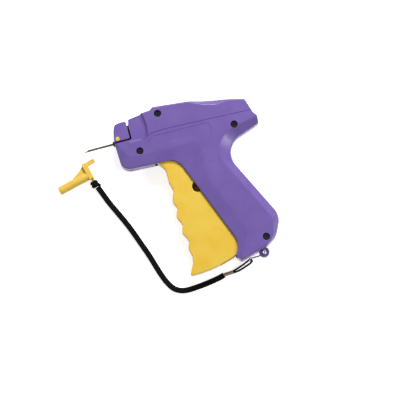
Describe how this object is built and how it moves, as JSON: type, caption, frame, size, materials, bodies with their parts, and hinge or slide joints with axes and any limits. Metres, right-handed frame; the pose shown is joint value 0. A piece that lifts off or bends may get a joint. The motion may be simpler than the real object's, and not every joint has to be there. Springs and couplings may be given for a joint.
{
  "type": "garment tag attacher",
  "caption": "Hand-held tagging tool with pistol grip, squeeze trigger, slotted needle and a wrist lanyard that carries the needle's cap",
  "frame": {"origin": "on the resting plane, in the middle of the long flat side of the casing that the tool lies on, 16 mm below the needle's line and 6 mm ahead of the trigger's pivot", "axes": "+Z is the tool's left side, away from the surface it lies on; -X is the muzzle with the needle; +X the rear; +Y the tool's top, so the grip runs towards -Y"},
  "size_m": [0.185, 0.1637, 0.025],
  "materials": {
    "casing_plastic": "moulded lilac-purple plastic, fine satin texture",
    "nose_plastic": "moulded deeper purple plastic, satin",
    "trigger_plastic": "moulded warm yellow plastic, soft gloss",
    "cap_plastic": "moulded pale yellow plastic, soft gloss",
    "inner_plastic": "natural acetal, satin",
    "dark_plastic": "black acetal, satin",
    "needle_steel": "drawn stainless steel, slightly brown",
    "bright_steel": "bright drawn steel wire and pins",
    "screw_steel": "dark zinc-plated steel",
    "spring_steel": "spring steel",
    "lever_metal": "blanked steel plate",
    "dark_metal": "blackened die-cast metal",
    "ferrule_metal": "dull plated sheet metal, brownish silver",
    "bumper_rubber": "soft black rubber",
    "cord_fabric": "thin braided black cord",
    "strap_fabric": "flat woven black strap"
  },
  "bodies": {
    "casing": {"left_shell": "casing_plastic", "right_shell": "casing_plastic", "nose_block": "nose_plastic", "needle": "needle_steel", "needle_base": "dark_metal", "casing_screws": "screw_steel", "trigger_pin": "bright_steel", "lever_pin": "bright_steel", "return_spring": "spring_steel", "rod_guide": "dark_plastic", "bumper": "bumper_rubber", "feed_axle": "bright_steel", "pawl_pin": "bright_steel", "detent_spring": "spring_steel", "wire_hook": "bright_steel", "cord_loop": "cord_fabric", "crimp_ferrule": "ferrule_metal", "lanyard_strap": "strap_fabric", "cap_knot": "strap_fabric", "needle_cap": "cap_plastic"},
    "trigger": {"trigger": "trigger_plastic", "drive_pin": "bright_steel"},
    "lever": {"drive_lever": "lever_metal", "roller_pin": "bright_steel", "drive_rollers": "inner_plastic"},
    "slider": {"slider": "inner_plastic", "pusher_rod": "bright_steel"},
    "feed_wheel": {"feed_wheel": "dark_plastic"},
    "feed_pawl": {"feed_pawl": "lever_metal"},
    "needle_lock": {"needle_lock": "cap_plastic"}
  },
  "joints": [
    {"name": "trigger_pull", "type": "hinge", "parent": "casing", "child": "trigger", "pos_m": [-0.006, -0.004, 0.0125], "axis": [0, 0, 1], "range_deg": [0, 16], "stiffness_Nm_per_rad": 1.2, "springref_deg": -20.05, "deforming": ["return_spring"]},
    {"name": "lever_swing", "type": "hinge", "parent": "casing", "child": "lever", "pos_m": [0.026, -0.0325, 0.0125], "axis": [0, 0, 1], "range_deg": [0, 54.77]},
    {"name": "slider_travel", "type": "slide", "parent": "casing", "child": "slider", "axis": [-1, 0, 0], "range_m": [0, 0.046]},
    {"name": "feed_wheel_turn", "type": "hinge", "parent": "casing", "child": "feed_wheel", "pos_m": [-0.0288, 0.0203, 0.0075], "axis": [1, 0, 0], "continuous": true},
    {"name": "feed_pawl_lift", "type": "hinge", "parent": "casing", "child": "feed_pawl", "pos_m": [-0.0228, 0.0284, 0.0061], "axis": [1, 0, 0], "range_deg": [-10, 0], "stiffness_Nm_per_rad": 0.002, "springref_deg": 11.46},
    {"name": "needle_lock_turn", "type": "hinge", "parent": "casing", "child": "needle_lock", "pos_m": [-0.04, 0.0179, 0.0125], "axis": [0, 0, 1], "range_deg": [0, 90]}
  ],
  "couplings": [
    {"joint": "lever_swing", "follows": "trigger_pull", "ratio": 3.4234},
    {"joint": "slider_travel", "follows": "trigger_pull", "m_per_rad": 0.16473}
  ]
}
